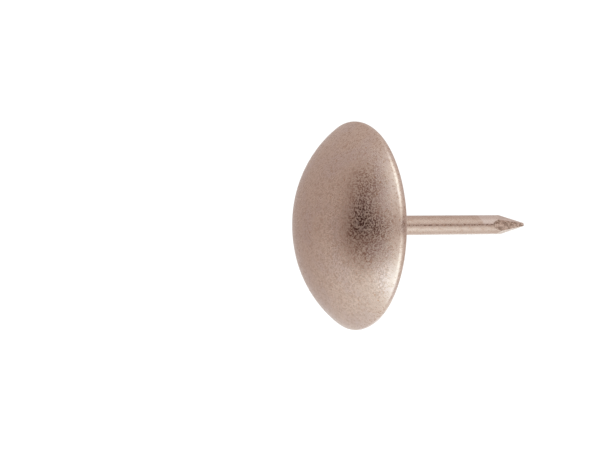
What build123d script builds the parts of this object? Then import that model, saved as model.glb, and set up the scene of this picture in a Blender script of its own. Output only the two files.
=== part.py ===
from build123d import *

import math
import os

# Domed decorative nail. A hollow pressed-steel head stands over the upset foot of a wire shank,
# and a ring of braze joins the two.
# The nail's axis is Y: the crown faces -Y, the point faces +Y, and +Z is up.
# The origin is the centre of the plane that the turned rim seats on. Millimetres.

# Head shell: one round blank of sheet, drawn to a dome and turned in at its rim
head_diameter = 25.4
sheet_thickness = 0.5
crown_radius = 17.0  # outer radius of the middle of the dome
crown_end_tilt = 25.5  # where the haunch takes over, as the slope of the wall in degrees
haunch_end_tilt = 53.9  # where the wall bends over into the rim
shoulder_radius = 0.6
rim_radius = 0.8  # outer radius of the turned rim, behind the widest plane
lip_width = 1.0  # flat inner lip that lies on the work

# Shank: drawn wire, with an upset foot at one end and a pinched point at the other
wire_diameter = 2.46
reach = 24.0  # seat plane to the blunt end of the point
foot_diameter = 5.6
foot_edge_thickness = 0.9
neck_radius = 0.5  # blend between the foot's back and the wire

# Point: two long narrow flats where the dies part, and four broad flats that the dies press
parting_flat_angle = 11.4  # half angle of the two narrow flats
pressed_flat_angle = 12.9  # half angle of the four broad flats
pressed_flat_turn = 55.0  # how far the broad flats are turned round the wire from the narrow ones
blunt_length = 0.85  # how far short of a sharp tip the point ends

# Braze: ring in the corner between the foot's edge and the inside of the crown
braze_width = 1.1

head_radius = head_diameter / 2
wire_radius = wire_diameter / 2
foot_radius = foot_diameter / 2


def sine(degrees):
    return math.sin(math.radians(degrees))


def cosine(degrees):
    return math.cos(math.radians(degrees))


# The haunch joins the crown to the shoulder, so its radius follows from the head's diameter.
haunch_radius = (
    head_radius - shoulder_radius * (1 - sine(haunch_end_tilt)) - crown_radius * sine(crown_end_tilt)
) / (sine(haunch_end_tilt) - sine(crown_end_tilt))
dome_height = (
    crown_radius * (1 - cosine(crown_end_tilt))
    + haunch_radius * (cosine(crown_end_tilt) - cosine(haunch_end_tilt))
    + shoulder_radius * cosine(haunch_end_tilt)
)
crown_top = -(dome_height + rim_radius)  # the outermost point of the dome, on the axis
crown_centre = crown_top + crown_radius

# Each bend of the wall: outer radius, and the slope of the wall where the bend ends
wall_bends = (
    (crown_radius, crown_end_tilt),
    (haunch_radius, haunch_end_tilt),
    (shoulder_radius, 90.0),
    (rim_radius, 180.0),
)


def wall_arcs(depth):
    """Tangent arcs of the dome's section, a given depth under its outer face, from crown to lip."""
    arcs = []
    centre = Vector(0, crown_top, 0)
    last_radius, start_tilt = 0.0, 0.0
    for radius, end_tilt in wall_bends:
        centre += (last_radius - radius) * Vector(sine(start_tilt), -cosine(start_tilt), 0)
        arcs.append(CenterArc(centre, radius - depth, start_tilt - 90, end_tilt - start_tilt))
        last_radius, start_tilt = radius, end_tilt
    return arcs


def make_head_shell():
    """Dome of one sheet, with its rim turned in to a flat lip."""
    outer_arcs = wall_arcs(0)
    inner_arcs = wall_arcs(sheet_thickness)
    outer_lip = outer_arcs[-1] @ 1
    inner_lip = inner_arcs[-1] @ 1
    across_lip = Vector(-lip_width, 0, 0)
    edge = Polyline(outer_lip, outer_lip + across_lip, inner_lip + across_lip, inner_lip)
    middle = Line(outer_arcs[0] @ 0, inner_arcs[0] @ 0)
    section = make_face([*outer_arcs, *inner_arcs, *edge.edges(), middle])
    return revolve(section, Axis.Y)


def inside_of_crown(radius):
    """Y of the inside of the crown at a distance from the nail's axis."""
    inner_radius = crown_radius - sheet_thickness
    return crown_centre - math.sqrt(inner_radius**2 - radius**2)


def make_shank():
    """Wire with a foot shaped to the inside of the crown and a six-sided point."""
    foot_edge = inside_of_crown(foot_radius)
    foot_back = foot_edge + foot_edge_thickness
    foot_face = RadiusArc(
        (0, inside_of_crown(0)), (foot_radius, foot_edge), -(crown_radius - sheet_thickness)
    )
    foot_side = Polyline(
        (foot_radius, foot_edge), (foot_radius, foot_back), (wire_radius + neck_radius, foot_back)
    )
    neck_centre = (wire_radius + neck_radius, foot_back + neck_radius)
    neck = CenterArc(neck_centre, neck_radius, 180, 90)
    wire = Polyline(
        (wire_radius, foot_back + neck_radius), (wire_radius, reach), (0, reach), (0, inside_of_crown(0))
    )
    section = make_face([foot_face, *foot_side.edges(), neck, *wire.edges()])
    shank = revolve(section, Axis.Y)

    sharp_tip = Vector(0, reach + blunt_length, 0)
    flats = [(turn, parting_flat_angle) for turn in (0, 180)]
    flats += [(side + lean * pressed_flat_turn, pressed_flat_angle) for side in (0, 180) for lean in (-1, 1)]
    for turn, angle in flats:
        outwards = Vector(cosine(turn) * cosine(angle), sine(angle), sine(turn) * cosine(angle))
        shank = split(shank, bisect_by=Plane(sharp_tip, z_dir=outwards), keep=Keep.BOTTOM)
    return shank


def make_braze_fillet():
    """Ring of joint metal between the foot's edge and the inside of the crown."""
    outer_radius = foot_radius + braze_width
    foot_corner = (foot_radius, inside_of_crown(foot_radius))
    foot_top = (foot_radius, inside_of_crown(foot_radius) + foot_edge_thickness)
    toe = (outer_radius, inside_of_crown(outer_radius))
    on_crown = RadiusArc(foot_corner, toe, -(crown_radius - sheet_thickness))
    on_foot = Line(foot_corner, foot_top)
    hollow_face = RadiusArc(foot_top, toe, -braze_width * 1.2)
    section = make_face([on_crown, on_foot, hollow_face])
    return revolve(section, Axis.Y)


nodes = {
    "head_shell": make_head_shell(),
    "shank": make_shank(),
    "braze_fillet": make_braze_fillet(),
}

os.makedirs("parts", exist_ok=True)
for name, solid in nodes.items():
    export_step(solid, f"parts/{name}.step")

point_length = (reach + blunt_length) - wire_radius / math.tan(math.radians(parting_flat_angle))
print("haunch radius", round(haunch_radius, 3), "crown top", round(crown_top, 3))
print("straight wire from", round(inside_of_crown(foot_radius) + foot_edge_thickness + neck_radius, 3),
      "to", round(point_length, 3))
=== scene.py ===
"""Looks of a domed decorative nail: a pressed-steel head, a wire shank and the braze between them.

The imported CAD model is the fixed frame. Each class below builds one piece round it in metres, in the
same frame: the nail's axis is Y, the crown faces -Y, the point faces +Y, and +Z is up.
"""

import logging
import math
from collections.abc import Callable
from dataclasses import dataclass, field
from enum import Enum

import bmesh
import bpy
from mathutils import Matrix, Vector, noise


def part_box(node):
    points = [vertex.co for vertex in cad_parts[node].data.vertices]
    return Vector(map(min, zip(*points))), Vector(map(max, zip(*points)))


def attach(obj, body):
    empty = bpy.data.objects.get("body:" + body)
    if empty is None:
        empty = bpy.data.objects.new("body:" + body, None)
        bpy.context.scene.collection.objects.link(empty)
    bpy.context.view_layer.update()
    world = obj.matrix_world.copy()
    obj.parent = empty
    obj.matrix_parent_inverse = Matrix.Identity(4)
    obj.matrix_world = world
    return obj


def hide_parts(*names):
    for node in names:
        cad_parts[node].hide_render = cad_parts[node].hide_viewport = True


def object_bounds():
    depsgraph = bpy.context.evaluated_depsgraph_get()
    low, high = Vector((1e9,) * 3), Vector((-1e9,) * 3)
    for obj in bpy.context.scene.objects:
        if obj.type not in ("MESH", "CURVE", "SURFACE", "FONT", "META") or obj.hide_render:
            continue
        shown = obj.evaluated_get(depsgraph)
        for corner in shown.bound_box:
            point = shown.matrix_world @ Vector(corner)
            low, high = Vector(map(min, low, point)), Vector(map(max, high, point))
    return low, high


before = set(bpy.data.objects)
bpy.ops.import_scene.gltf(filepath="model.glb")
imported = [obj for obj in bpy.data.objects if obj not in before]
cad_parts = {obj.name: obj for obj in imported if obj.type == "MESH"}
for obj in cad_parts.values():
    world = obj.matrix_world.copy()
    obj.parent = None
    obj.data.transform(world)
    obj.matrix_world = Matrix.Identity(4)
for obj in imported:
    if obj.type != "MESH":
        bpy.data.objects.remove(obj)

LOG = logging.getLogger("nail")
MM = 0.001
NAIL_AXIS = Vector((0.0, 1.0, 0.0))
SECTION_NORMAL = Vector((0.0, 0.0, 1.0))  # sections are drawn in the XY plane, X being the radius
CAD_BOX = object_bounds()
FLAT_AREA = 0.4 * MM * MM  # faces larger than this are true flats, and the rest are parts of curves
INSIDE = "inside_of_head"  # attribute that is 1 where a surface faces into the hollow of the head, which the finish darkens with painted shade
SHEARED = "sheared"  # attribute that is 1 where the dies tore the metal, and less where they pressed it


# ---------------------------------------------------------------------------------------------
# Small tools for meshes and node trees
# ---------------------------------------------------------------------------------------------


def start_section(mesh: bmesh.types.BMesh, radius: float, along: float) -> bmesh.types.BMVert:
    """Put down the first point of a section.

    Args:
        mesh: Mesh that receives the point.
        radius: Distance from the nail's axis, in metres.
        along: Place along the nail's axis, in metres.

    Returns:
        The new vertex.
    """
    return bmesh.ops.create_vert(mesh, co=(radius, along, 0.0))["vert"][0]


def draw_arc(
    mesh: bmesh.types.BMesh,
    start: bmesh.types.BMVert,
    centre: tuple[float, float],
    sweep_degrees: float,
    steps: int,
) -> bmesh.types.BMVert:
    """Carry the section on from a point along an arc.

    Args:
        mesh: Mesh that holds the section.
        start: Point the arc leaves from.
        centre: Radius and place along the axis of the arc's centre, in metres.
        sweep_degrees: Angle of the arc, positive from radius towards the point.
        steps: Number of edges in the arc.

    Returns:
        The vertex at the arc's end.
    """
    spun = bmesh.ops.spin(
        mesh,
        geom=[start],
        cent=(centre[0], centre[1], 0.0),
        axis=SECTION_NORMAL,
        angle=math.radians(sweep_degrees),
        steps=steps,
        use_merge=False,
    )
    return next(item for item in spun["geom_last"] if isinstance(item, bmesh.types.BMVert))


def draw_line(
    mesh: bmesh.types.BMesh, start: bmesh.types.BMVert, radius: float, along: float, steps: int = 1
) -> bmesh.types.BMVert:
    """Carry the section on from a point along a straight line.

    Args:
        mesh: Mesh that holds the section.
        start: Point the line leaves from.
        radius: Distance of the line's end from the nail's axis, in metres.
        along: Place of the line's end along the axis, in metres.
        steps: Number of edges in the line.

    Returns:
        The vertex at the line's end.
    """
    step = (Vector((radius, along, 0.0)) - start.co) / steps
    last = start
    for _ in range(steps):
        grown = bmesh.ops.extrude_vert_indiv(mesh, verts=[last])
        last = grown["verts"][0]
        bmesh.ops.translate(mesh, verts=[last], vec=step)
    return last


def turn_section(mesh: bmesh.types.BMesh, steps: int) -> None:
    """Turn everything drawn so far once round the nail's axis, and close its seam and poles.

    Args:
        mesh: Mesh that holds the section.
        steps: Number of faces round the axis.
    """
    bmesh.ops.spin(
        mesh,
        geom=[*mesh.verts, *mesh.edges],
        cent=(0.0, 0.0, 0.0),
        axis=NAIL_AXIS,
        angle=math.tau,
        steps=steps,
        use_merge=True,
    )
    bmesh.ops.remove_doubles(mesh, verts=mesh.verts, dist=0.0005 * MM)
    bmesh.ops.recalc_face_normals(mesh, faces=mesh.faces)


def mark(mesh: bmesh.types.BMesh, name: str, share: Callable[[bmesh.types.BMFace], float]) -> None:
    """Record on each face how far it belongs to a kind that the finish treats on its own.

    Args:
        mesh: Mesh to mark.
        name: Attribute that is 1 where a face belongs fully, and 0 where it doesn't.
        share: Gives one face's share.
    """
    layer = mesh.faces.layers.float.new(name)
    for face in mesh.faces:
        face[layer] = float(share(face))


def dress(mesh: bmesh.types.BMesh, height: float, size: float) -> None:
    """Give a surface the slight unevenness of real work.

    Args:
        mesh: Mesh to work on.
        height: Furthest that the broad swells reach, in metres.
        size: Distance between the broad swells, in metres.
    """
    moves = []
    for vert in mesh.verts:
        swell = noise.noise(vert.co / size) + 0.5 * noise.noise(vert.co / (size * 0.4))
        moves.append(vert.normal * swell * height)
    for vert, move in zip(mesh.verts, moves):
        vert.co += move


def finish_piece(mesh: bmesh.types.BMesh, name: str, node: str) -> bpy.types.Object:
    """Make a bmesh a smooth-shaded piece that stands for a CAD node.

    Args:
        mesh: Finished mesh, which is freed.
        name: Name of the piece.
        node: CAD node that the piece stands for.

    Returns:
        The new object, riding on the nail's one body.
    """
    data = bpy.data.meshes.new(name)
    mesh.to_mesh(data)
    mesh.free()
    for polygon in data.polygons:
        polygon.use_smooth = polygon.area < FLAT_AREA
    piece = bpy.data.objects.new(name, data)
    bpy.context.scene.collection.objects.link(piece)
    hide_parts(node)
    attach(piece, "root")
    return piece


class Tree:
    """A node tree that is written one node at a time."""

    def __init__(self, material: bpy.types.Material | bpy.types.World) -> None:
        """Empty the tree of a material or a world.

        Args:
            material: Owner of the tree.
        """
        material.use_nodes = True
        self.nodes = material.node_tree.nodes
        self.links = material.node_tree.links
        self.nodes.clear()

    def add(self, kind: str, settings: dict | None = None, **inputs: object) -> bpy.types.Node:
        """Add a node, set it and link it.

        Args:
            kind: Node type without its ShaderNode prefix.
            settings: Properties of the node.
            **inputs: Input names, with spaces as underscores, and their values or source sockets.

        Returns:
            The new node.
        """
        node = self.nodes.new(f"ShaderNode{kind}")
        for name, value in (settings or {}).items():
            setattr(node, name, value)
        for name, value in inputs.items():
            self.feed(self.input_named(node, name.replace("_", " ")), value)
        return node

    @staticmethod
    def input_named(node: bpy.types.Node, name: str) -> bpy.types.NodeSocket:
        """Find one of a node's enabled inputs.

        Args:
            node: Node to look at.
            name: The input's name, or "in" and its number where names repeat.

        Returns:
            The input.
        """
        if name.startswith("in "):
            return node.inputs[int(name[3:])]
        return next(socket for socket in node.inputs if socket.name == name and socket.enabled)

    def feed(self, socket: bpy.types.NodeSocket, value: object) -> None:
        """Link a socket to another, or give it a value.

        Args:
            socket: Input to feed.
            value: An output socket, a number, or a sequence of numbers.
        """
        if isinstance(value, bpy.types.NodeSocket):
            self.links.new(value, socket)
        else:
            socket.default_value = value

    def maths(self, operation: str, *values: object, clamp: bool = False) -> bpy.types.NodeSocket:
        """Add a Math node.

        Args:
            operation: Blender's name of the operation.
            *values: Numbers or sockets, in the order of the inputs.
            clamp: Whether the result is held between 0 and 1.

        Returns:
            The result's socket.
        """
        node = self.add("Math", {"operation": operation, "use_clamp": clamp})
        for socket, value in zip(node.inputs, values):
            self.feed(socket, value)
        return node.outputs[0]

    def ease(
        self, value: object, low: float, high: float, to: tuple[float, float] = (0.0, 1.0)
    ) -> bpy.types.NodeSocket:
        """Map a value smoothly from one range to another, and hold it at the ends.

        Args:
            value: Socket to map.
            low: Value that gives the first end.
            high: Value that gives the second end.
            to: The two ends.

        Returns:
            The result's socket.
        """
        node = self.add("MapRange", {"interpolation_type": "SMOOTHSTEP"}, Value=value)
        self.feed(self.input_named(node, "From Min"), low)
        self.feed(self.input_named(node, "From Max"), high)
        self.feed(self.input_named(node, "To Min"), to[0])
        self.feed(self.input_named(node, "To Max"), to[1])
        return node.outputs[0]

    def blend(self, share: object, first: object, second: object) -> bpy.types.NodeSocket:
        """Mix two colours.

        Args:
            share: How much of the second colour shows.
            first: Colour at a share of 0.
            second: Colour at a share of 1.

        Returns:
            The mixed colour's socket.
        """
        node = self.add("Mix", {"data_type": "RGBA"})
        self.feed(self.input_named(node, "Factor"), share)
        self.feed(self.input_named(node, "A"), first)
        self.feed(self.input_named(node, "B"), second)
        return next(socket for socket in node.outputs if socket.enabled)

    def grain(
        self, place: object, size: float, detail: float = 2.0, seed: float = 0.0, swirl: float = 0.0
    ) -> bpy.types.NodeSocket:
        """Add a noise whose features have a real size.

        Args:
            place: Coordinates in metres.
            size: Distance between features, in metres.
            detail: Number of finer layers.
            seed: Where along the noise's fourth axis it is read, which gives a pattern of its own.
            swirl: How far the pattern is twisted out of its even spacing.

        Returns:
            The noise's value, mostly between 0.3 and 0.7.
        """
        node = self.add(
            "TexNoise",
            {"noise_dimensions": "4D"},
            Vector=place,
            W=seed,
            Scale=1.0 / size,
            Detail=detail,
            Roughness=0.55,
            Distortion=swirl,
        )
        return node.outputs[0]


# ---------------------------------------------------------------------------------------------
# Finishes
# ---------------------------------------------------------------------------------------------


def colour(red: float, green: float, blue: float) -> tuple[float, float, float, float]:
    """Give a linear colour its alpha of one."""
    return red, green, blue, 1.0


class Ground(Enum):
    """How the metal under the plating was worked, which sets the direction of its marks."""

    PRESSED = "pressed"
    DRAWN = "drawn"


DRAWN_PLATE = colour(0.55, 0.412, 0.342)
DRAWN_PALE = colour(0.59, 0.455, 0.378)


@dataclass(frozen=True)
class AntiquePlate:
    """Satin antique nickel over steel, with a warm brown patina, fine grain and a few rust-brown specks.

    The inside of the head is rougher and darkened with painted shade, and the heat of brazing has stained
    both pieces round the joint.
    """

    name: str
    ground: Ground
    plate: tuple = colour(0.63, 0.484, 0.405)
    patina: tuple = colour(0.47, 0.325, 0.255)
    pale: tuple = colour(0.69, 0.56, 0.47)
    mauve: tuple = colour(0.60, 0.47, 0.425)
    speck: tuple = colour(0.42, 0.21, 0.10)
    # painted shade: the darker colour laid over the hollow of the head
    inside: tuple = colour(0.33, 0.275, 0.24)
    heat: tuple = colour(0.15, 0.115, 0.11)
    grain_size: float = 0.14 * MM
    mottle_size: float = 3.5 * MM
    speck_spacing: float = 0.7 * MM
    cells_with_speck: float = 0.28
    relief: float = 0.014 * MM
    smooth: float = 0.08
    matte: float = 0.53
    rolled: float = 0.27  # roughness of the rolled rim
    rolled_from: float = 11.9 * MM  # how far from the axis the rim begins to be smoothed
    rolled_fade: float = 0.5 * MM
    cloud_size: float = 1.4 * MM
    stain_core: float = 3.6 * MM
    stain_reach: float = 7.0 * MM
    stain_raggedness: float = 5.0 * MM
    drawing_mark: float = 0.30 * MM
    # where the top of the wire begins to be paler and smoother, towards the point
    paler_top_from: float = 17.2 * MM
    paler_top: tuple = colour(0.66, 0.54, 0.485)
    torn_dark: tuple = colour(0.46, 0.345, 0.275)
    torn_light: tuple = colour(0.82, 0.66, 0.56)

    def make(self) -> bpy.types.Material:
        """Build the material.

        Returns:
            The new material.
        """
        material = bpy.data.materials.new(self.name)
        tree = Tree(material)
        place = tree.add("TexCoord").outputs["Object"]
        worked = self.stretched(tree, place)
        mottle = tree.grain(place, self.mottle_size, detail=3.0, seed=1.3)
        grain = tree.grain(worked, self.grain_size, detail=2.0, seed=4.1, swirl=0.3)
        tint = tree.grain(worked, self.grain_size * 2.0, detail=3.0, seed=6.6, swirl=0.5)

        tone = tree.blend(tree.ease(mottle, 0.42, 0.62), self.plate, self.mauve)
        tone = tree.blend(tree.ease(tint, 0.50, 0.62, to=(0.0, 0.95)), tone, self.patina)
        tone = tree.blend(self.specks(tree, place), tone, self.speck)
        tone = tree.blend(tree.ease(grain, 0.42, 0.60, to=(0.0, 0.6)), tone, self.pale)
        rough = tree.ease(grain, 0.44, 0.56, to=(self.smooth, self.matte))
        height = grain
        if self.ground is Ground.PRESSED:
            rough, height = self.rolled_rim(tree, place, rough, grain)
        if self.ground is Ground.DRAWN:
            height = self.drawing_marks(tree, place, grain)
            tone, rough = self.pinched(tree, place, tint, tone, rough)
        # the hollow of the head gets painted shade in its colour, and more roughness
        tone, dulling = self.shade_inside_and_stain_joint(tree, place, tone)
        rough = tree.maths("MULTIPLY_ADD", dulling, 0.15, rough, clamp=True)
        bump = tree.add("Bump", Strength=1.0, Distance=self.relief, Height=height)
        shader = tree.add(
            "BsdfPrincipled", Base_Color=tone, Metallic=1.0, Roughness=rough, Normal=bump.outputs[0]
        )
        tree.add("OutputMaterial", Surface=shader.outputs[0])
        return material

    def rolled_rim(
        self,
        tree: Tree,
        place: bpy.types.NodeSocket,
        rough: bpy.types.NodeSocket,
        grain: bpy.types.NodeSocket,
    ) -> tuple[bpy.types.NodeSocket, bpy.types.NodeSocket]:
        """Smooth the grain out where the rim was rolled over.

        Args:
            tree: Material's tree.
            place: Coordinates in metres.
            rough: Roughness of the plating.
            grain: Height of the fine grain.

        Returns:
            The roughness and the height with the rim calmed.
        """
        fully_rolled = self.rolled_from + self.rolled_fade
        rolled = tree.ease(self.off_axis(tree, place), self.rolled_from, fully_rolled, to=(0.0, 0.75))
        kept = tree.maths("SUBTRACT", 1.0, rolled)
        rough = tree.maths("MULTIPLY_ADD", rough, kept, tree.maths("MULTIPLY", rolled, self.rolled))
        return rough, tree.maths("MULTIPLY", grain, kept)

    def off_axis(self, tree: Tree, place: bpy.types.NodeSocket) -> bpy.types.NodeSocket:
        """Measure how far each place is from the nail's axis.

        Args:
            tree: Material's tree.
            place: Coordinates in metres.

        Returns:
            The distance in metres.
        """
        x, _, z = tree.add("SeparateXYZ", Vector=place).outputs
        squares = tree.maths("MULTIPLY_ADD", x, x, tree.maths("MULTIPLY", z, z))
        return tree.maths("SQRT", squares)

    def pinched(
        self,
        tree: Tree,
        place: bpy.types.NodeSocket,
        tint: bpy.types.NodeSocket,
        tone: bpy.types.NodeSocket,
        rough: bpy.types.NodeSocket,
    ) -> tuple[bpy.types.NodeSocket, bpy.types.NodeSocket]:
        """Treat the end of the wire: paler and smoother on the top of the wire towards the point, torn on the
        narrow flats.

        Args:
            tree: Material's tree.
            place: Coordinates in metres.
            tint: Fine pattern.
            tone: Colour of the plating.
            rough: Roughness of the plating.

        Returns:
            The colour and the roughness with the end's treatment.
        """
        _, along, height = tree.add("SeparateXYZ", Vector=place).outputs
        slanted = tree.maths("MULTIPLY_ADD", height, 0.4, along)
        # only the upper half of the wire, from a slanted line to the point, is made paler and smoother
        paler_top_share = tree.ease(slanted, self.paler_top_from, self.paler_top_from + 0.15 * MM, to=(0.0, 0.8))
        paler_top_share = tree.maths("MULTIPLY", paler_top_share, tree.ease(height, -0.1 * MM, 0.15 * MM))
        tone = tree.blend(paler_top_share, tone, self.paler_top)
        torn = tree.add("Attribute", {"attribute_name": SHEARED}).outputs["Fac"]
        crumbs = tree.ease(tint, 0.42, 0.58)
        torn_tone = tree.blend(crumbs, self.torn_dark, self.torn_light)
        tone = tree.blend(torn, tone, torn_tone)
        rough = tree.maths("MULTIPLY_ADD", torn, 0.15, rough)
        return tone, tree.maths("MULTIPLY_ADD", paler_top_share, -0.1, rough, clamp=True)

    def stretched(self, tree: Tree, place: bpy.types.NodeSocket) -> bpy.types.NodeSocket:
        """Draw the grain out along the shank where the metal is drawn wire.

        Args:
            tree: Material's tree.
            place: Coordinates in metres.

        Returns:
            Coordinates for the grain.
        """
        if self.ground is Ground.PRESSED:
            return place
        return tree.add("Mapping", Vector=place, Scale=(1.0, 0.55, 1.0)).outputs[0]

    def drawing_marks(
        self, tree: Tree, place: bpy.types.NodeSocket, grain: bpy.types.NodeSocket
    ) -> bpy.types.NodeSocket:
        """Add the long shallow marks that the drawing die leaves along the wire.

        Args:
            tree: Material's tree.
            place: Coordinates in metres.
            grain: Height of the fine grain.

        Returns:
            Height of the grain and the marks together.
        """
        along = tree.add("Mapping", Vector=place, Scale=(1.0, 0.05, 1.0)).outputs[0]
        marks = tree.grain(along, self.drawing_mark, detail=2.0, seed=8.8)
        return tree.maths("MULTIPLY_ADD", marks, 0.8, grain)

    def specks(self, tree: Tree, place: bpy.types.NodeSocket) -> bpy.types.NodeSocket:
        """Scatter small rust-brown spots where the plating is thin.

        Args:
            tree: Material's tree.
            place: Coordinates in metres.

        Returns:
            How much of the spot's colour shows.
        """
        cells = tree.add("TexVoronoi", {"feature": "F1"}, Vector=place, Scale=1.0 / self.speck_spacing)
        near = tree.ease(cells.outputs["Distance"], 0.20, 0.08)
        draw = tree.add("SeparateColor", Color=cells.outputs["Color"]).outputs[0]
        chosen = tree.maths("GREATER_THAN", draw, 1.0 - self.cells_with_speck)
        return tree.maths("MULTIPLY", tree.maths("MULTIPLY", near, chosen), 0.75, clamp=True)

    def shade_inside_and_stain_joint(
        self, tree: Tree, place: bpy.types.NodeSocket, tone: bpy.types.NodeSocket
    ) -> tuple[bpy.types.NodeSocket, bpy.types.NodeSocket]:
        """Darken the inside of the head with painted shade, and stain the metal round the brazed joint.

        Args:
            tree: Material's tree.
            place: Coordinates in metres.
            tone: Colour of the plating.

        Returns:
            The colour with the inside's painted shade and stain, and how dull each place is.
        """
        within = tree.add("Attribute", {"attribute_name": INSIDE}).outputs["Fac"]
        cloud = tree.grain(place, self.cloud_size, detail=4.0, seed=3.3)
        centred = tree.maths("SUBTRACT", cloud, 0.5)
        ragged = tree.maths("MULTIPLY_ADD", centred, -self.stain_raggedness, self.off_axis(tree, place))
        stain = tree.ease(ragged, self.stain_reach, self.stain_core, to=(0.0, 0.8))
        stain = tree.maths("MULTIPLY", stain, within)
        # painted shade: the hollow of the head is blended towards the darker inside colour, unevenly by the
        # cloud
        inside_shade_share = tree.maths("MULTIPLY", tree.ease(cloud, 0.3, 0.6, to=(0.55, 0.95)), within)
        return tree.blend(stain, tree.blend(inside_shade_share, tone, self.inside), self.heat), within


@dataclass(frozen=True)
class BrazeMetal:
    """Dull yellow-brown joint metal that flowed and froze between the foot and the head."""

    name: str
    metal: tuple = colour(0.50, 0.37, 0.22)
    stain: tuple = colour(0.20, 0.15, 0.12)
    ripple_size: float = 0.5 * MM

    def make(self) -> bpy.types.Material:
        """Build the material.

        Returns:
            The new material.
        """
        material = bpy.data.materials.new(self.name)
        tree = Tree(material)
        place = tree.add("TexCoord").outputs["Object"]
        ripple = tree.grain(place, self.ripple_size, detail=3.0, seed=2.9)
        tone = tree.blend(tree.ease(ripple, 0.62, 0.38), self.metal, self.stain)
        rough = tree.maths("MULTIPLY_ADD", ripple, 0.4, 0.25, clamp=True)
        bump = tree.add("Bump", Strength=0.6, Distance=0.03 * MM, Height=ripple)
        shader = tree.add(
            "BsdfPrincipled", Base_Color=tone, Metallic=1.0, Roughness=rough, Normal=bump.outputs[0]
        )
        tree.add("OutputMaterial", Surface=shader.outputs[0])
        return material


# ---------------------------------------------------------------------------------------------
# Pieces
# ---------------------------------------------------------------------------------------------


@dataclass
class HeadShell:
    """Dome of one sheet, drawn to shape and turned in at the rim to a flat lip."""

    sheet: float = 0.5 * MM
    crown_radius: float = 17.0 * MM
    crown_end_tilt: float = 25.5
    haunch_end_tilt: float = 53.9
    shoulder_radius: float = 0.6 * MM
    rim_radius: float = 0.8 * MM
    lip_width: float = 1.0 * MM
    edge_round: float = 0.1 * MM
    steps_round: int = 288
    unevenness: float = 0.012 * MM
    swell: float = 5.5 * MM
    radius: float = field(init=False)
    top: float = field(init=False)

    def __post_init__(self) -> None:
        """Take the head's size and place from its CAD node."""
        low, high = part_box("head_shell")
        self.radius = (high.x - low.x) / 2
        self.top = low.y

    @property
    def haunch_radius(self) -> float:
        """Radius that lets the haunch join the crown to the shoulder."""
        crown_end = math.sin(math.radians(self.crown_end_tilt))
        haunch_end = math.sin(math.radians(self.haunch_end_tilt))
        reach = self.radius - self.shoulder_radius * (1 - haunch_end) - self.crown_radius * crown_end
        return reach / (haunch_end - crown_end)

    def draw_wall(self, mesh: bmesh.types.BMesh) -> None:
        """Draw the outer face's section from the crown to the edge of the lip.

        Args:
            mesh: Mesh that receives the section.
        """
        bends = (
            (self.crown_radius, self.crown_end_tilt, 22),
            (self.haunch_radius, self.haunch_end_tilt, 16),
            (self.shoulder_radius, 90.0, 7),
            (self.rim_radius, 180.0, 14),
        )
        last = start_section(mesh, 0.0, self.top)
        centre = Vector((0.0, self.top))
        last_radius, tilt = 0.0, 0.0
        for radius, end_tilt, steps in bends:
            outwards = Vector((math.sin(math.radians(tilt)), -math.cos(math.radians(tilt))))
            centre += (last_radius - radius) * outwards
            last = draw_arc(mesh, last, tuple(centre), end_tilt - tilt, steps)
            last_radius, tilt = radius, end_tilt
        draw_line(mesh, last, last.co.x - self.lip_width, last.co.y, steps=4)

    def build(self) -> bpy.types.Object:
        """Build the shell.

        Returns:
            The finished piece.
        """
        mesh = bmesh.new()
        self.draw_wall(mesh)
        turn_section(mesh, self.steps_round)
        bmesh.ops.solidify(mesh, geom=list(mesh.faces), thickness=self.sheet)
        bmesh.ops.recalc_face_normals(mesh, faces=mesh.faces)
        self.round_cut_edge(mesh)
        # faces looking into the hollow take painted shade in the finish
        mark(mesh, INSIDE, self.faces_hollow)
        dress(mesh, self.unevenness, self.swell)
        return finish_piece(mesh, "head_shell_skin", "head_shell")

    def faces_hollow(self, face: bmesh.types.BMFace) -> bool:
        """Tell whether a face of the shell looks into the hollow of the head.

        Args:
            face: Face of the shell.

        Returns:
            True on the inside of the dome and on the inner side of the lip.
        """
        middle = face.calc_center_median()
        outwards = Vector((middle.x, 0.0, middle.z)).normalized()
        deep = middle.y < -2.0 * self.sheet
        under_lip = face.normal.y < -0.9 and not deep
        return face.normal.dot(outwards) < -0.05 or (face.normal.y > 0.9 and deep) or under_lip

    def round_cut_edge(self, mesh: bmesh.types.BMesh) -> None:
        """Break the two sharp edges where the sheet was cut, at the inner end of the lip.

        Args:
            mesh: Mesh of the shell.
        """
        sharp = [edge for edge in mesh.edges if edge.calc_face_angle(0.0) > math.radians(60.0)]
        bmesh.ops.bevel(
            mesh, geom=sharp, offset=self.edge_round, segments=3, profile=0.5, affect="EDGES", material=-1
        )


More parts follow.
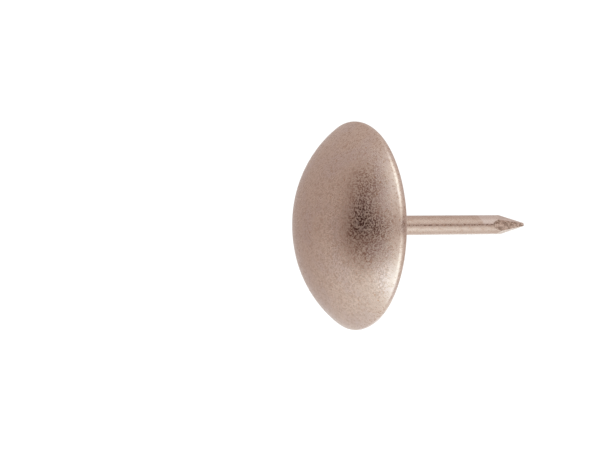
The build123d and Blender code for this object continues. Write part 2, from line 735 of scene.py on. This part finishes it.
@dataclass
class Shank:
    """Drawn wire with an upset foot in the head and a pinched point."""

    foot_radius: float = 2.8 * MM
    foot_edge: float = 0.9 * MM
    neck_radius: float = 0.5 * MM
    wire_radius: float = 1.23 * MM
    parting_flat_angle: float = 11.4
    upper_flat_angle: float = 12.7
    lower_flat_angle: float = 13.5
    upper_flat_turn: float = 55.0
    lower_flat_turn: float = 60.0
    blunt_length: float = 0.78 * MM
    lower_lag: float = 0.13 * MM
    edge_round: float = 0.03 * MM
    steps_round: int = 96
    tip: float = field(init=False)
    foot_top: float = field(init=False)

    def __post_init__(self) -> None:
        """Take the shank's ends from its CAD node."""
        low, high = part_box("shank")
        self.tip = high.y
        self.foot_top = low.y

    def flats(self) -> list[tuple[float, float, float]]:
        """List the point's flats: two narrow ones, and a broad pair above and below.

        The dies don't meet quite evenly, so the upper pair of broad flats starts a little before the lower.

        Returns:
            Turn round the wire, half angle, and where the flat would meet the axis, for each flat.
        """
        sharp = self.tip + self.blunt_length
        narrow = [(turn, self.parting_flat_angle, sharp) for turn in (0.0, 180.0)]
        upper_turns = (self.upper_flat_turn, 180.0 - self.upper_flat_turn)
        upper = [(turn, self.upper_flat_angle, sharp) for turn in upper_turns]
        lower_turns = (-self.lower_flat_turn, 180.0 + self.lower_flat_turn)
        lower = [(turn, self.lower_flat_angle, sharp + self.lower_lag) for turn in lower_turns]
        return narrow + upper + lower

    def build(self, inside_of_crown: float) -> bpy.types.Object:
        """Build the shank.

        Args:
            inside_of_crown: Radius of the inside of the crown, which shapes the foot's face.

        Returns:
            The finished piece.
        """
        mesh = bmesh.new()
        face_tilt = math.degrees(math.asin(self.foot_radius / inside_of_crown))
        last = start_section(mesh, 0.0, self.foot_top)
        last = draw_arc(mesh, last, (0.0, self.foot_top + inside_of_crown), face_tilt, 6)
        back = last.co.y + self.foot_edge
        last = draw_line(mesh, last, self.foot_radius, back, steps=3)
        last = draw_line(mesh, last, self.wire_radius + self.neck_radius, back, steps=3)
        neck_centre = (self.wire_radius + self.neck_radius, back + self.neck_radius)
        last = draw_arc(mesh, last, neck_centre, -90.0, 6)
        last = draw_line(mesh, last, self.wire_radius, self.tip, steps=60)
        draw_line(mesh, last, 0.0, self.tip)
        turn_section(mesh, self.steps_round)
        self.pinch_point(mesh)
        # the shank's foot within the head takes the same painted shade as the inside of the head
        mark(mesh, INSIDE, lambda face: face.calc_center_median().y < -4.0 * MM)
        mark(mesh, SHEARED, self.torn_share)
        return finish_piece(mesh, "shank_wire", "shank")

    def torn_share(self, face: bmesh.types.BMFace) -> float:
        """Tell how torn a face of the shank is.

        Args:
            face: Face of the shank.

        Returns:
            1 on the narrow flats, less on the broad ones, and 0 on the wire.
        """
        if face.calc_area() < FLAT_AREA:
            return 0.0
        return 1.0 if abs(face.normal.x) > 0.9 else 0.3

    def pinch_point(self, mesh: bmesh.types.BMesh) -> None:
        """Cut the point's flats, and round their edges as tumbling does.

        Args:
            mesh: Mesh of the plain wire.
        """
        for turn, angle, sharp in self.flats():
            tilt = math.radians(angle)
            round_wire = math.radians(turn)
            outwards = Vector(
                (math.cos(round_wire) * math.cos(tilt), math.sin(tilt), math.sin(round_wire) * math.cos(tilt))
            )
            cut = bmesh.ops.bisect_plane(
                mesh,
                geom=[*mesh.verts, *mesh.edges, *mesh.faces],
                dist=0.0001 * MM,
                plane_co=(0.0, sharp, 0.0),
                plane_no=outwards,
                clear_outer=True,
            )
            rim = [item for item in cut["geom_cut"] if isinstance(item, bmesh.types.BMEdge)]
            bmesh.ops.holes_fill(mesh, edges=rim, sides=0)
        flats = {face for face in mesh.faces if face.calc_area() > FLAT_AREA}
        shared = [edge for edge in mesh.edges if len(edge.link_faces) == 2]
        ridges = [edge for edge in shared if flats.issuperset(edge.link_faces)]
        bmesh.ops.bevel(
            mesh, geom=ridges, offset=self.edge_round, segments=2, profile=0.5, affect="EDGES", material=-1
        )
        bmesh.ops.recalc_face_normals(mesh, faces=mesh.faces)


@dataclass
class BrazeFillet:
    """Ring of joint metal in the corner between the foot's edge and the inside of the crown."""

    width: float = 1.1 * MM
    steps_round: int = 96
    unevenness: float = 0.05 * MM
    swell: float = 1.6 * MM

    def build(self, shank: Shank, inside_of_crown: float) -> bpy.types.Object:
        """Build the ring.

        Args:
            shank: Shank whose foot the ring holds.
            inside_of_crown: Radius of the inside of the crown.

        Returns:
            The finished piece.
        """
        mesh = bmesh.new()
        centre_along = shank.foot_top + inside_of_crown
        foot_tilt = math.asin(shank.foot_radius / inside_of_crown)
        toe_tilt = math.asin((shank.foot_radius + self.width) / inside_of_crown)
        corner_along = centre_along - inside_of_crown * math.cos(foot_tilt)
        first = start_section(mesh, shank.foot_radius, corner_along)
        toe = draw_arc(mesh, first, (0.0, centre_along), math.degrees(toe_tilt - foot_tilt), 4)
        heel = Vector((shank.foot_radius, corner_along + shank.foot_edge))
        hollow_radius = self.width * 1.2
        chord = heel - toe.co.xy
        rise = math.sqrt(hollow_radius**2 - chord.length_squared / 4)
        side = Vector((chord.y, -chord.x)).normalized()
        hollow_centre = (toe.co.xy + heel) / 2 + side * rise
        sweep = 2 * math.asin(chord.length / 2 / hollow_radius)
        last = draw_arc(mesh, toe, tuple(hollow_centre), math.degrees(-sweep), 8)
        draw_line(mesh, last, shank.foot_radius, corner_along)
        turn_section(mesh, self.steps_round)
        dress(mesh, self.unevenness, self.swell)
        return finish_piece(mesh, "braze_ring", "braze_fillet")


# ---------------------------------------------------------------------------------------------
# Studio
# ---------------------------------------------------------------------------------------------


@dataclass(frozen=True)
class SoftLight:
    """One soft patch of light, or of shade where its strength is below zero, in the studio's tent."""

    azimuth: float  # degrees round the nail from the camera
    height: float  # degrees above the level of the nail
    spread: float  # degrees from the patch's middle to where it has faded to about a third
    strength: float
    crispness: float = 1.0  # above 1 gives a fuller middle and a sharper edge


@dataclass(frozen=True)
class Studio:
    """White tent and pale floor. Its patches are placed by angle from the camera's own side."""

    camera_azimuth: float
    fill: float = 0.35
    upper_box: SoftLight = SoftLight(15.0, 45.0, 32.0, 1.35, 1.5)  # lights the top of dome and wire
    lower_box: SoftLight = SoftLight(20.0, -50.0, 35.0, 1.05, 2.0)  # lights the bottom of dome and wire
    low_kicker: SoftLight = SoftLight(-40.0, -50.0, 15.0, 0.5, 1.5)  # lifts the lower haunch
    back_box: SoftLight = SoftLight(165.0, -20.0, 25.0, 0.95)  # runs along the outline of the dome
    ceiling: SoftLight = SoftLight(0.0, 90.0, 85.0, 0.2, 3.5)
    table: SoftLight = SoftLight(0.0, -70.0, 85.0, 0.75, 2.0)  # white card that the light falls on
    point_card: SoftLight = SoftLight(85.0, 50.0, 65.0, 0.2, 2.0)  # white card on the point's side
    lower_gap: SoftLight = SoftLight(-55.0, -10.0, 27.0, -0.65, 2.0)  # dark opening in front of the crown
    upper_gap: SoftLight = SoftLight(-60.0, 28.0, 20.0, -0.42, 1.5)
    shade: SoftLight = SoftLight(40.0, 0.0, 60.0, -0.8)  # dark seam between the boxes, level with the wire
    shade_height: float = 6.5
    darkest: float = 0.03
    warmth: float = 0.78  # below 1 lifts red where the tent is dark
    blue_loss: float = 1.074  # above 1 lowers blue where the tent is dark
    floor_radius: float = 1.2
    floor_drop: float = 20.0 * MM  # how far the floor lies below the head

    def patches(self) -> list[SoftLight]:
        """List the round patches: the boxes, the white cards and the dark gaps."""
        boxes = [self.upper_box, self.lower_box, self.low_kicker, self.back_box]
        cards = [self.ceiling, self.table, self.point_card]
        return boxes + cards + [self.lower_gap, self.upper_gap]

    def direction(self, light: SoftLight) -> Vector:
        """Find the direction from the nail to a patch.

        Args:
            light: Patch of light or shade.

        Returns:
            Unit vector in the nail's frame.
        """
        azimuth = math.radians(self.camera_azimuth + light.azimuth)
        height = math.radians(light.height)
        return Vector(
            (math.sin(azimuth) * math.cos(height), -math.cos(azimuth) * math.cos(height), math.sin(height))
        )

    def glow(self, tree: Tree, look: bpy.types.NodeSocket, light: SoftLight) -> bpy.types.NodeSocket:
        """Find how far a direction lies in a patch.

        Args:
            tree: World's tree.
            look: Direction looked in.
            light: Patch of light or shade.

        Returns:
            1 at the patch's middle, falling to 0 away from it.
        """
        along = tree.add("VectorMath", {"operation": "DOT_PRODUCT"}, in_0=look, in_1=self.direction(light))
        sharpness = 1.0 / (1.0 - math.cos(math.radians(light.spread)))
        away = tree.maths("MULTIPLY", tree.maths("SUBTRACT", 1.0, along.outputs["Value"]), sharpness)
        eased = tree.maths("POWER", tree.maths("MAXIMUM", away, 0.0), light.crispness)
        return tree.maths("EXPONENT", tree.maths("MULTIPLY", eased, -1.0))

    def build(self) -> None:
        """Make the tent and the floor."""
        world = bpy.data.worlds.new("tent")
        bpy.context.scene.world = world
        tree = Tree(world)
        look = tree.add("TexCoord").outputs["Generated"]
        total: object = self.fill
        for light in self.patches():
            total = tree.maths("MULTIPLY_ADD", self.glow(tree, look, light), light.strength, total)
        height = tree.add("SeparateXYZ", Vector=look).outputs[2]
        rise = tree.maths("DIVIDE", height, math.sin(math.radians(self.shade_height)))
        level = tree.maths("EXPONENT", tree.maths("MULTIPLY", tree.maths("MULTIPLY", rise, rise), -1.0))
        band = tree.maths("MULTIPLY", self.glow(tree, look, self.shade), level)
        total = tree.maths("MULTIPLY_ADD", band, self.shade.strength, total)
        total = tree.maths("MAXIMUM", total, self.darkest)
        tinted = tree.add(
            "CombineColor",
            Red=tree.maths("POWER", total, self.warmth),
            Green=total,
            Blue=tree.maths("POWER", total, self.blue_loss),
        )
        tent = tree.add("Background", Color=tinted.outputs[0], Strength=1.0)
        seen = tree.add("Background", Color=colour(1.0, 1.0, 1.0), Strength=1.1)
        path = tree.add("LightPath").outputs["Is Camera Ray"]
        both = tree.add("MixShader", in_0=path, in_1=tent.outputs[0], in_2=seen.outputs[0])
        tree.add("OutputWorld", Surface=both.outputs[0])
        self.lay_floor()

    def lay_floor(self) -> None:
        """Lay a broad pale floor below the nail."""
        low, _ = CAD_BOX
        mesh = bmesh.new()
        bmesh.ops.create_circle(mesh, cap_ends=True, segments=96, radius=self.floor_radius)
        bmesh.ops.translate(mesh, verts=mesh.verts, vec=(0.0, 0.0, low[2] - self.floor_drop))
        data = bpy.data.meshes.new("studio_floor")
        mesh.to_mesh(data)
        mesh.free()
        floor = bpy.data.objects.new("studio_floor", data)
        bpy.context.scene.collection.objects.link(floor)
        material = bpy.data.materials.new("studio_floor_paint")
        tree = Tree(material)
        shader = tree.add(
            "BsdfPrincipled",
            Base_Color=colour(0.9, 0.9, 0.9),
            Roughness=0.9,
            Emission_Color=colour(1.0, 1.0, 1.0),
            Emission_Strength=0.35,
        )
        tree.add("OutputMaterial", Surface=shader.outputs[0])
        data.materials.append(material)
        floor.visible_glossy = False


@dataclass(frozen=True)
class Camera:
    """Close lens, level with the nail, that sees the head turned a little towards it."""

    azimuth: float
    roll: float = 0.6
    lens_mm: float = 84.0
    sensor_mm: float = 36.0
    head_share: float = 0.3472  # the head's diameter as a share of the frame's width
    right_share: float = 0.0873  # how far right of the frame's middle the head stands, as a share too
    up_share: float = 0.0119

    def build(self, head: HeadShell) -> None:
        """Place the camera.

        Args:
            head: Head, whose widest circle sets the scale and the framing.
        """
        frame_width = 2 * head.radius / self.head_share
        distance = frame_width * self.lens_mm / self.sensor_mm
        turn = math.radians(self.azimuth)
        back = Vector((math.sin(turn), -math.cos(turn), 0.0))
        tilt = Matrix.Rotation(-math.radians(self.roll), 3, back)
        right = tilt @ Vector((math.cos(turn), math.sin(turn), 0.0))
        up = tilt @ Vector((0.0, 0.0, 1.0))
        widest = Vector((0.0, -head.rim_radius, 0.0))
        aim = widest - (right * self.right_share + up * self.up_share) * frame_width
        data = bpy.data.cameras.new("camera")
        data.lens = self.lens_mm
        data.sensor_width = self.sensor_mm
        data.clip_start = 0.01
        data.clip_end = 10.0
        camera = bpy.data.objects.new("camera", data)
        bpy.context.scene.collection.objects.link(camera)
        axes = Matrix((right, up, back)).transposed()
        camera.matrix_world = Matrix.Translation(aim + back * distance) @ axes.to_4x4()
        bpy.context.scene.camera = camera


def main() -> None:
    """Build the nail, its finishes and the studio, and report each piece."""
    logging.basicConfig(level=logging.INFO, format="%(name)s: %(message)s")
    camera_azimuth = 65.0

    head = HeadShell()
    shank = Shank()
    braze = BrazeFillet()
    inside_of_crown = head.crown_radius - head.sheet
    drawn_plate = AntiquePlate(
        "antique_plate_shank",
        Ground.DRAWN,
        plate=DRAWN_PLATE,
        mauve=DRAWN_PLATE,
        pale=DRAWN_PALE,
        smooth=0.14,
        matte=0.36,
        relief=0.008 * MM,
    )
    pieces = (
        (head.build(), AntiquePlate("antique_plate_head", Ground.PRESSED)),
        (shank.build(inside_of_crown), drawn_plate),
        (braze.build(shank, inside_of_crown), BrazeMetal("braze_metal")),
    )
    for piece, finish in pieces:
        piece.data.materials.append(finish.make())
        LOG.info("%s: %d faces, %s", piece.name, len(piece.data.polygons), finish.name)

    Studio(camera_azimuth).build()
    Camera(camera_azimuth).build(head)
    bpy.context.scene.view_settings.view_transform = "Standard"


if __name__ == "__main__":
    main()
